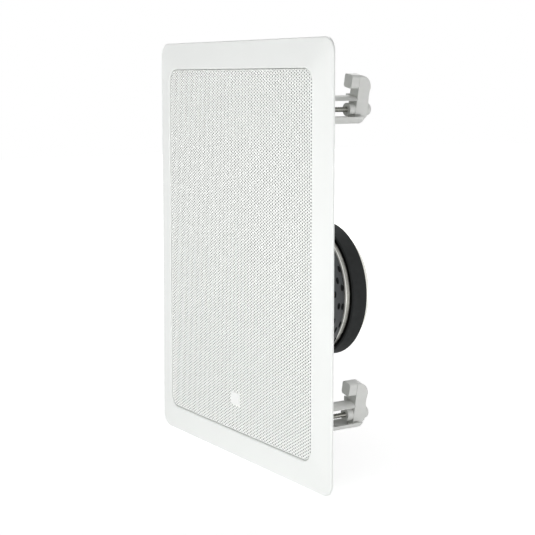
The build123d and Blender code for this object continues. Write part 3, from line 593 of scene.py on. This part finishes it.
# %% [markdown]
# ## Perforated grille
# The grille is a steel sheet punched with nearly twelve thousand round holes and then folded into a shallow pan, so
# the holes run on over the fold. They stand in upright columns, each column half a step lower than the last, so every
# hole sits in a hexagon of sheet. Cutting each hole with a boolean would take far too long. One hexagon with its hole
# is a small pattern of triangles, and the field is that pattern repeated.

# %% Sizes of the grille
grille_low, grille_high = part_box("grille")
half_width, half_height = grille_high.x, grille_high.z
face_front, fold_back = grille_low.y, grille_high.y
face_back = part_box("grille_scrim")[0].y
sheet = face_back - face_front
corner, bend = 10.1 * mm, 1.2 * mm
hole_pitch, hole_radius, hole_sides = 2.565 * mm, 0.72 * mm, 8
column_pitch = hole_pitch * sqrt(3) / 2
hexagon = circle(hole_pitch / sqrt(3), 6)
hole = circle(hole_radius, hole_sides)
rolled = bend * pi / 2
print("grille:", [round(2 * half / mm, 1) for half in (half_width, half_height)], "mm, sheet", round(sheet / mm, 2))

# %% [markdown]
# ## Where the holes go
# The holes are laid out on the flat sheet, as they are punched. Counting rows and columns would do for a rectangle, but
# the sheet has round corners, so each hole is measured against the outline. Those whose whole hexagon fits make the
# field. Those that fit with only part of it are left to the rim, and under the badge the sheet isn't punched.


# %% Lay out the holes
def inside_by(points, inset):
    """How far points (x, z) lie inside the pan's rounded outline, drawn in by an inset."""
    past = np.abs(points) - [half_width - corner, half_height - corner]
    round_part = np.hypot(*np.maximum(past, 0).T)
    return corner - inset - round_part - np.minimum(past.max(axis=1), 0)


column_count, row_count = int(half_width / column_pitch) + 1, int(half_height / hole_pitch) + 2
lattice = np.array([
    ((column + 0.5) * column_pitch, (row + column % 2 / 2) * hole_pitch)
    for column in range(-column_count, column_count) for row in range(-row_count, row_count)
])
hexagon_gap, hole_gap = 0.05 * mm, 0.1 * mm
hexagon_points = (lattice[:, None] + hexagon).reshape(-1, 2)
hexagon_room = inside_by(hexagon_points, bend - rolled).reshape(-1, len(hexagon)).min(axis=1)
whole = hexagon_room > hexagon_gap
part_cut = ~whole & (inside_by(lattice, bend - rolled) > hole_radius + hole_gap)
field, edge_holes = lattice[whole], lattice[part_cut]

badge_low, badge_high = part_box("badge_plate")
badge_middle = np.array([badge_low.x + badge_high.x, badge_low.z + badge_high.z]) / 2
badge_half = np.array([badge_high.x - badge_low.x, badge_high.z - badge_low.z]) / 2
unpunched = (np.abs(field - badge_middle) < badge_half + hole_radius / 2).all(axis=1)
print("grille:", len(field) - unpunched.sum() + len(edge_holes), "holes")

# %% [markdown]
# ## Folding the sheet
# A point past the bend line goes round the bend by as much as it lies past that line, so the sheet keeps its length
# and the holes on the bend turn with it. A bend modifier turns a mesh about one axis, and this pan is folded along
# four sides and round four corners, so the points are moved one by one.


# %% Fold the sheet
def folded(flat, radius, depth):
    """Points (x, z) of the flat sheet, stood up in the frame. Those past the bend line are rolled over the bend."""
    past = np.maximum(bend - inside_by(flat, 0), 0)
    turn = np.minimum(past / bend, pi / 2)
    never_zero = 1e-9
    outward = np.maximum(np.abs(flat) - [half_width - corner, half_height - corner], never_zero)
    outward = np.sign(flat) * outward / np.hypot(*outward.T)[:, None]
    bent = flat - outward * (past - radius * np.sin(turn))[:, None]
    return np.insert(bent, 1, depth + radius * (1 - np.cos(turn)), axis=1)


def both_faces(flat):
    """Front and back points of the folded sheet, which is bent less tightly on its outside."""
    return [folded(flat, bend, face_front), folded(flat, bend - sheet, face_back)]


# %% [markdown]
# ## Punched field
# The field is many hexagons with one corner point shared by three, so it is one skin with no seams inside it. It could
# be a single piece, but four upright strips keep each of them to a size that is easy to handle.


# %% Hexagons and their holes
def ring_pattern():
    """Triangles between a hexagon, points 0 to 5, and the hole in it, points 6 on."""
    triangles, outer, inner = [], 0, 0
    while outer < 6 or inner < hole_sides:
        a, b = outer % 6, 6 + inner % hole_sides
        if (outer + 1) / 6 <= (inner + 1) / hole_sides:
            outer += 1
            triangles.append((a, outer % 6, b))
        else:
            inner += 1
            triangles.append((a, 6 + inner % hole_sides, b))
    return np.array(triangles)


def open_edges(cells):
    """Edges of hexagons, given as rows of six point numbers, that no neighbour shares."""
    edges = np.stack([cells, np.roll(cells, -1, axis=1)], axis=-1).reshape(-1, 2)
    size = cells.max() + 1
    return edges[~np.isin(edges[:, 0] * size + edges[:, 1], edges[:, 1] * size + edges[:, 0])]


def hexagon_corners(centres):
    """Corner points of hexagons, each kept once, and six point numbers for each hexagon."""
    corners = (centres[:, None] + hexagon).reshape(-1, 2)
    steps = np.round(corners / [column_pitch / 6, hole_pitch / 2])
    _, first, number = np.unique(steps, axis=0, return_index=True, return_inverse=True)
    return corners[first], number.reshape(-1, 6)


# %% A patch of sheet
def punched_sheet(centres, blank):
    """Points and faces of a closed patch of sheet made of hexagons, holed where they aren't blank."""
    corners, cells = hexagon_corners(centres)
    punched = centres[~blank]
    rims = len(corners) + np.arange(len(punched) * hole_sides).reshape(-1, hole_sides)
    flat = np.concatenate([corners, (punched[:, None] + hole).reshape(-1, 2)])
    back = len(flat)
    ring = np.concatenate([cells[~blank], rims], axis=1)[:, ring_pattern()].reshape(-1, 3)
    following = np.roll(rims, -1, axis=1)
    walls = np.stack([rims, following, following + back, rims + back], axis=-1).reshape(-1, 4)
    a, b = open_edges(cells).T
    sides = np.stack([b, a, a + back, b + back], axis=1)
    faces = [ring, ring[:, ::-1] + back, cells[blank], cells[blank][:, ::-1] + back, walls, sides]
    return np.concatenate(both_faces(flat)), [face for group in faces for face in group.tolist()]


# %% Punch the field
strip_count = 4
strip_of = np.minimum(((field[:, 0] / half_width + 1) / 2 * strip_count).astype(int), strip_count - 1)
for strip in range(strip_count):
    mine = strip_of == strip
    points, faces = punched_sheet(field[mine], unpunched[mine])
    mesh_piece(f"grille_field_{strip + 1}", points, faces, "grille_enamel", "frame", "grille")
    print("grille_field", strip + 1, len(faces), "faces")

# %% [markdown]
# ## Folded rim of the grille
# Round the field the sheet goes on over the bend and ends as a wall that stands on the bezel's ledge. The border could
# be trimmed hexagons too, but their cut corners would be slivers. Instead it is filled with triangles between the end
# of the bend and the ragged edge of the field, round the holes that lie there, and rolled over the bend as the field
# is. Three bands then close the wall.


# %% Outline of the pan
def rounded_outline(inset, steps=10):
    """The pan's outline drawn in by an inset, anticlockwise as seen from the room, with a point for each hole."""
    sweep = np.linspace(0, pi / 2, steps + 1)
    along = np.linspace(0, 1, int(half_height / column_pitch))[1:-1, None]
    loop = []
    for quarter, (side_x, side_z) in enumerate([(1, 1), (-1, 1), (-1, -1), (1, -1)]):
        turn = sweep + quarter * pi / 2
        middle = np.array([side_x * (half_width - corner), side_z * (half_height - corner)])
        loop.append(middle + (corner - inset) * np.stack([np.cos(turn), np.sin(turn)], axis=1))
    return np.concatenate([
        np.concatenate([here, here[-1] + (following[0] - here[-1]) * along])
        for here, following in zip(loop, loop[1:] + loop[:1])
    ])


# %% Ragged edge of the field
corners, cells = hexagon_corners(field)
next_point = dict(open_edges(cells).tolist())
ragged = [next(iter(next_point))]
while next_point[ragged[-1]] != ragged[0]:
    ragged.append(next_point[ragged[-1]])
print("field: its edge has", len(ragged), "points")

# %% Fill and close the rim
inner_loops = [corners[ragged]] + [centre + hole for centre in edge_holes]
outline = rounded_outline(bend - rolled)
flat = np.concatenate([outline, *inner_loops])
border = fill_between(outline, inner_loops)
faces = border.tolist() + (border[:, ::-1] + len(flat)).tolist()
start = len(outline)
for loop in inner_loops:
    front = np.arange(start, start + len(loop))
    faces += band(front, front + len(flat))[:, ::-1].tolist()
    start += len(loop)

points = both_faces(flat) + [at_depth(rounded_outline(inset), fold_back) for inset in (0, sheet)]
first = np.arange(len(outline))
end = 2 * len(flat) + first
for ring, following in ((first, end), (end, end + len(first)), (end + len(first), first + len(flat))):
    faces += band(ring, following).tolist()
mesh_piece("grille_rim", np.concatenate(points), faces, "grille_enamel", "frame", "grille")
print("grille_rim:", len(faces), "faces,", len(edge_holes), "holes beside the fold")

# %% [markdown]
# ## Cloth behind the grille
# The scrim is cut to a rounded rectangle and glued to the back of the punched sheet, pulled flat. It is too tight to
# sag or fold, so it needs no cloth simulation: two flat faces and an edge are its whole shape.

# %% Stretch the scrim
scrim_low, scrim_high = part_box("grille_scrim")
cut = rounded_outline(half_width - scrim_high.x)
front = np.arange(len(cut))
cloth = fill_between(cut, [])
faces = np.concatenate([cloth, cloth[:, ::-1] + len(cut)]).tolist() + band(front, front + len(cut)).tolist()
points = np.concatenate([at_depth(cut, scrim_low.y), at_depth(cut, scrim_high.y)])
scrim = mesh_piece("grille_scrim_cloth", points, faces, "scrim_cloth", "frame", "grille_scrim")

# %% [markdown]
# ## Screws
# All the screws have a pan head with a cross recess and a coarse thread. A screw modifier could sweep the thread, but
# the head would have to be joined to it. Here the screw is one skin: the thread is a tube whose radius follows a ridge
# that climbs as it goes round, and it fades out under the head and at the tip as a rolled thread does.


# %% A threaded screw
def screw_mesh(head_radius, head_height, shank_radius, length, pitch):
    """Points and faces of a screw along Y, with the top of its head at 0 and its tip at length."""
    sides, rows_per_turn, crown_rows = 24, 8, 4
    thread_depth, flank, root = 0.22 * shank_radius, 1.4, 0.3
    arm, half_arm, cap_radius = 0.55 * head_radius, 0.13 * head_radius, 0.72 * head_radius
    recess_depth, recess_taper, crown_height = 0.6 * head_height, 0.7, 0.6 * head_height
    cross = np.array([(arm, -half_arm), (arm, half_arm), (half_arm, half_arm)])
    cross = np.concatenate([cross @ np.array([[cos(q), sin(q)], [-sin(q), cos(q)]])
                            for q in np.arange(4) * pi / 2])
    top = fill_between(circle(cap_radius, sides), [cross])
    recess = np.arange(sides, sides + len(cross))
    floor = recess + len(cross)
    points = [at_depth(circle(cap_radius, sides), 0.0), at_depth(cross, 0.0),
              at_depth(cross * recess_taper, recess_depth)]
    faces = top.tolist() + band(recess, floor)[:, ::-1].tolist() + [floor.tolist()]

    crown = [(cap_radius + (head_radius - cap_radius) * sin(a), crown_height * (1 - cos(a)))
             for a in np.linspace(0, pi / 2, crown_rows + 1)[1:]]
    shells = [np.full(sides, r) for r, _ in crown] + [np.full(sides, head_radius)]
    depths = [y for _, y in crown] + [head_height]
    turn = np.arange(sides) / sides
    row_count = int((length - head_height) / pitch * rows_per_turn)
    for y in np.linspace(head_height, length, row_count + 1):
        climb = (y / pitch - turn) % 1
        ridge = np.clip(flank * (1 - 2 * np.abs(climb - 0.5)) - root, 0, 1)
        fade = min(1, (y - head_height) / pitch, (length - y) / pitch)
        shells.append(shank_radius - thread_depth + thread_depth * ridge * fade)
        depths.append(y)
    rings, used = [np.arange(sides)], sum(len(p) for p in points)
    for shell, y in zip(shells, depths):
        points.append(at_depth(circle(1.0, sides) * shell[:, None], y))
        rings.append(np.arange(used, used + sides))
        used += sides
    for ring, following in zip(rings, rings[1:]):
        faces += band(ring, following).tolist()
    faces.append(rings[-1][::-1].tolist())
    return np.concatenate(points), faces


# %% A group of screws
def screw_group(name, node, places, body, from_back=False, **sizes):
    """Screws at places (x, z), driven from the room or from the back, in one piece that stands for a node."""
    low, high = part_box(node)
    points, faces = screw_mesh(length=high.y - low.y, **sizes)
    if from_back:
        points = points * [-1, -1, 1]
    points[:, 1] += high.y if from_back else low.y
    all_points = [points + [x, 0, z] for x, z in places]
    all_faces = [[i + k * len(points) for i in face] for k in range(len(places)) for face in faces]
    mesh_piece(name, np.concatenate(all_points), all_faces, "zinc_steel", body, node)
    print(name, len(places), "screws,", len(all_faces), "faces")


# %% Clamp screws
for corner_name in ("top_right", "bottom_right", "top_left", "bottom_left"):
    low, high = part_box("clamp_screw_" + corner_name)
    middle = (low + high) / 2
    screw_group("clamp_screw_threaded_" + corner_name, "clamp_screw_" + corner_name, [(middle.x, middle.z)],
                "screw_" + corner_name, head_radius=4.2 * mm, head_height=3.0 * mm, shank_radius=2.0 * mm,
                pitch=1.6 * mm)

# %% Woofer screws
bolt_head, bolt_count = 3.4 * mm, 8
low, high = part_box("woofer_screws")
woofer_x, woofer_z = (low.x + high.x) / 2, (low.z + high.z) / 2
bolt_circle = ((high.x - low.x) / 2 - bolt_head) / cos(pi / bolt_count)
bolt_turns = [(k + 0.5) * 2 * pi / bolt_count for k in range(bolt_count)]
bolt_places = [(woofer_x + bolt_circle * cos(a), woofer_z + bolt_circle * sin(a)) for a in bolt_turns]
screw_group("woofer_screws_threaded", "woofer_screws", bolt_places, "frame", head_radius=bolt_head,
            head_height=2.2 * mm, shank_radius=1.9 * mm, pitch=1.4 * mm)

# %% Board and strip screws
small_head = 2.8 * mm
small_sizes = dict(head_radius=small_head, head_height=1.8 * mm, shank_radius=1.3 * mm, pitch=1.1 * mm)
low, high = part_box("crossover_screws")
board_places = [(x, z) for x in (low.x + small_head, high.x - small_head)
                for z in (low.z + small_head, high.z - small_head)]
screw_group("crossover_screws_threaded", "crossover_screws", board_places, "frame", from_back=True, **small_sizes)
low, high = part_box("input_screws")
strip_places = [(x, (low.z + high.z) / 2) for x in (low.x + small_head, high.x - small_head)]
screw_group("input_screws_threaded", "input_screws", strip_places, "frame", from_back=True, **small_sizes)

# %% [markdown]
# ## Crossover coil
# The coil is a moulded bobbin wound with enamelled copper wire, one turn beside the next. The wire could be one long
# helix, but from outside only the top layer shows, and its slope is too slight to see. So the winding is a profile of
# half-round ridges, one for each turn, turned about the coil's axis as the bobbin is.


# %% Turned pieces
def turned_piece(name, profile, middle, slot, *stands_for, steps=72):
    """A closed profile of (radius, depth) points turned about a line along Y through a point."""
    points = [at_depth(circle(radius, steps), depth) + [middle.x, 0, middle.z] for radius, depth in profile]
    rings = [np.arange(steps) + steps * i for i in range(len(profile))]
    faces = [quad for ring, after in zip(rings, rings[1:] + rings[:1]) for quad in band(ring, after).tolist()]
    mesh_piece(name, np.concatenate(points), faces, slot, "frame", *stands_for)
    print(name, len(faces), "faces")


# %% Bobbin
coil_low, coil_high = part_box("crossover_coil")
coil_middle = (coil_low + coil_high) / 2
flange_radius, core_radius = coil_high.x - coil_middle.x, 5 * mm
flange, tube, soft = 1.5 * mm, 1.4 * mm, 0.3 * mm
foot, crown = coil_low.y, coil_high.y
turned_piece("crossover_coil_bobbin", [
    (core_radius, foot), (flange_radius - soft, foot), (flange_radius, foot + soft),
    (flange_radius, foot + flange - soft), (flange_radius - soft, foot + flange),
    (core_radius + tube, foot + flange), (core_radius + tube, crown - flange),
    (flange_radius - soft, crown - flange), (flange_radius, crown - flange + soft),
    (flange_radius, crown - soft), (flange_radius - soft, crown), (core_radius, crown),
], coil_middle, "black_plastic", "crossover_coil")

# %% Winding
wire, ridge_sides = 0.9 * mm, 6
wound_from, wound_to = foot + flange, crown - flange
turn_count = int((wound_to - wound_from) / wire)
ridge_step = (wound_to - wound_from) / turn_count
top_layer = flange_radius - flange - wire / 2
ridges = [(top_layer + wire / 2 * sin(a), wound_from + (turn + 0.5) * ridge_step - ridge_step / 2 * cos(a))
          for turn in range(turn_count) for a in np.linspace(0, pi, ridge_sides + 1)[:-1]]
turned_piece("crossover_coil_winding",
             [(core_radius + tube, wound_from), *ridges, (top_layer, wound_to), (core_radius + tube, wound_to)],
             coil_middle, "copper_wire", "crossover_coil")

# %% [markdown]
# ## Cast resistor
# A cement resistor is a small ceramic trough with the wire inside it potted in cement. The trough's edges are rounded
# so that it leaves its mould, and the cement shrinks a little below its rim. Rounded rectangles stacked from front to
# back give all of that, with no modifier to apply.


# %% Trough and cement
def rounded_rectangle(half, radius, steps=6):
    """A rounded rectangle about 0, anticlockwise as seen from the room."""
    turn = (np.arange(4)[:, None] * pi / 2 + np.linspace(0, pi / 2, steps + 1)).ravel()
    signs = np.repeat([(1, 1), (-1, 1), (-1, -1), (1, -1)], steps + 1, axis=0)
    return signs * (half - radius) + radius * np.stack([np.cos(turn), np.sin(turn)], axis=1)


trough_low, trough_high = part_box("crossover_resistor")
trough_middle = (trough_low + trough_high) / 2
trough_half = np.array([trough_high.x - trough_middle.x, trough_high.z - trough_middle.z])
trough_corner, worn, rim, sunk = 1.6 * mm, 0.4 * mm, 1.2 * mm, 0.5 * mm
levels = [
    (worn, trough_low.y), (worn / 3, trough_low.y + worn / 3), (0, trough_low.y + worn), (0, trough_high.y - worn),
    (worn / 3, trough_high.y - worn / 3), (worn, trough_high.y), (rim, trough_high.y), (rim, trough_high.y - sunk),
]
stack = [at_depth(rounded_rectangle(trough_half - inset, trough_corner - inset), depth) for inset, depth in levels]
count = len(stack[0])
rings = [np.arange(count) + count * i for i in range(len(levels))]
faces = [quad for ring, after in zip(rings, rings[1:]) for quad in band(ring, after).tolist()]
faces += [rings[0].tolist(), rings[-1][::-1].tolist()]
mesh_piece("crossover_resistor_cast", np.concatenate(stack) + [trough_middle.x, 0, trough_middle.z], faces,
           "resistor_ceramic", "frame", "crossover_resistor")
print("crossover_resistor_cast:", len(faces), "faces")

# %% [markdown]
# ## Stamped tabs
# The two input tabs are stamped from brass strip. The free end is cut to a point so that a push-on connector finds
# it, and a small eye near the end is what the connector snaps into. A box with its corners cut off would need the eye
# as a boolean. Filling the stamped outline round the eye gives both at once, as the punch does.

# %% Two tabs
tab_low, tab_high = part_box("input_tabs")
tab_thickness, lead_in = 0.8 * mm, 1.5 * mm
eye_radius, eye_back, eye_sides = 0.85 * mm, 3.4 * mm, 16
blade = np.array([
    (tab_low.y, tab_low.z), (tab_high.y - lead_in, tab_low.z), (tab_high.y, tab_low.z + lead_in),
    (tab_high.y, tab_high.z - lead_in), (tab_high.y - lead_in, tab_high.z), (tab_low.y, tab_high.z),
])
eye = circle(eye_radius, eye_sides) + [tab_high.y - eye_back, (tab_low.z + tab_high.z) / 2]
flat = np.concatenate([blade, eye])
stamped = fill_between(blade, [eye])
edge, bore = np.arange(len(blade)), np.arange(len(blade), len(flat))
one_tab = [*stamped.tolist(), *(stamped[:, ::-1] + len(flat)).tolist(), *band(edge, edge + len(flat)).tolist(),
           *band(bore, bore + len(flat))[:, ::-1].tolist()]
right_faces = (tab_low.x + tab_thickness, tab_high.x)
points = [np.insert(flat, 0, x, axis=1) for right in right_faces for x in (right, right - tab_thickness)]
faces = [[i + k * 2 * len(flat) for i in face] for k in range(2) for face in one_tab]
mesh_piece("input_tabs_stamped", np.concatenate(points), faces, "tab_brass", "frame", "input_tabs")
print("input_tabs_stamped:", len(faces), "faces")

# %% [markdown]
# ## Studio
# The speaker stands on a white floor that runs out into a white background. Seen directly, the background is plain
# white. What lights the speaker is separate from that: a dim even sky and the lamps. The sky could be bright enough to
# be seen as white, but then it would wash out every shadow on the speaker.


# %% White background
def white_where_seen(tree):
    """1 for rays from the camera, from a mirror or through glass, and 0 for the light that falls on things."""
    rays = add(tree, "ShaderNodeLightPath").outputs
    either = add(tree, "ShaderNodeMath", {0: rays["Is Camera Ray"], 1: rays["Is Glossy Ray"]}, operation="MAXIMUM")
    return add(tree, "ShaderNodeMath", {0: either.outputs[0], 1: rays["Is Transmission Ray"]},
               operation="MAXIMUM").outputs[0]


sky_level = 0.28
world = bpy.data.worlds.new("white_studio")
world.use_nodes = True
tree = world.node_tree
tree.nodes.clear()
strength = add(tree, "ShaderNodeMapRange", {"Value": white_where_seen(tree), "To Min": sky_level, "To Max": 1.0})
sky = add(tree, "ShaderNodeBackground", {"Color": linear("FFFFFF"), "Strength": strength.outputs["Result"]})
add(tree, "ShaderNodeOutputWorld", {"Surface": sky.outputs[0]})
scene.world = world
print("sky: lights the speaker at", sky_level, "of white")

# %% [markdown]
# ## Floor
# The floor is matt white paper. A plane that is lit like the rest would come out grey, and one that is all white would
# lose the shadow. So it adds a white of its own to the light that falls on it, less of it near the speaker, where the
# soft shadow lies, and more with distance, until only white is left.

# %% Floor
white_near, white_far = 0.56, 0.95
near, far = 0.4, 1.5
matt_paper = bpy.data.materials.new("matt_paper_white")
matt_paper.use_nodes = True
tree = matt_paper.node_tree
tree.nodes.clear()
lit = add(tree, "ShaderNodeBsdfDiffuse", {"Color": linear("F4F4F4")})
place = add(tree, "ShaderNodeTexCoord").outputs["Object"]
away = add(tree, "ShaderNodeVectorMath", {0: place}, operation="LENGTH")
own_white = add(tree, "ShaderNodeMapRange", {"Value": away.outputs["Value"], "From Min": near, "From Max": far,
                                             "To Min": white_near, "To Max": white_far})
level = add(tree, "ShaderNodeMath", {0: white_where_seen(tree), 1: own_white.outputs["Result"]},
            operation="MULTIPLY")
own = add(tree, "ShaderNodeEmission", {"Color": linear("FFFFFF"), "Strength": level.outputs[0]})
both = add(tree, "ShaderNodeAddShader", {0: lit.outputs[0], 1: own.outputs[0]})
add(tree, "ShaderNodeOutputMaterial", {"Surface": both.outputs[0]})

floor_half = 4.0
floor_corners = [(x * floor_half, y * floor_half, cad_low.z) for x, y in ((-1, -1), (1, -1), (1, 1), (-1, 1))]
floor_mesh = bpy.data.meshes.new("studio_floor")
floor_mesh.from_pydata(floor_corners, [], [(0, 1, 2, 3)])
floor_mesh.materials.append(matt_paper)
studio_floor = bpy.data.objects.new("studio_floor", floor_mesh)
scene.collection.objects.link(studio_floor)
print("floor at", round(cad_low.z / mm, 1), "mm")

# %% [markdown]
# ## Lamps
# Soft light from the front shows the white face with hardly a shadow. A broad lamp and a low strip share that work,
# because one alone leaves the foot of the speaker dull. A narrow strip at the right draws the clamps and the magnet,
# and a softbox overhead and a fill behind keep the back from going black. Small lamps would be simpler, but plastic and
# zinc need wide ones to reflect.


# %% Lamps
def soft_lamp(name, azimuth, elevation, distance, width, height, watts):
    """A flat lamp aimed at the speaker. Azimuth 0 is in front of it, 90 is to its right."""
    lamp = bpy.data.lights.new(name, "AREA")
    lamp.shape, lamp.size, lamp.size_y, lamp.energy = "RECTANGLE", width, height, watts
    turn, lift = radians(azimuth), radians(elevation)
    away = Vector((sin(turn) * cos(lift), -cos(turn) * cos(lift), sin(lift)))
    holder = bpy.data.objects.new(name, lamp)
    holder.location = (cad_low + cad_high) / 2 + away * distance
    holder.rotation_euler = away.to_track_quat("Z", "Y").to_euler()
    scene.collection.objects.link(holder)


soft_lamp("key_softbox", azimuth=18, elevation=-3, distance=1.7, width=1.2, height=0.5, watts=7.7)
soft_lamp("low_strip", azimuth=6, elevation=-6, distance=0.95, width=0.9, height=0.12, watts=4.0)
soft_lamp("side_strip", azimuth=94, elevation=-11, distance=0.75, width=0.5, height=0.05, watts=1.6)
soft_lamp("overhead_softbox", azimuth=75, elevation=68, distance=1.8, width=1.2, height=1.2, watts=2.5)
soft_lamp("rear_fill", azimuth=215, elevation=35, distance=2.0, width=1.2, height=1.2, watts=12.0)
print("lamps:", [light.name for light in bpy.data.lights])
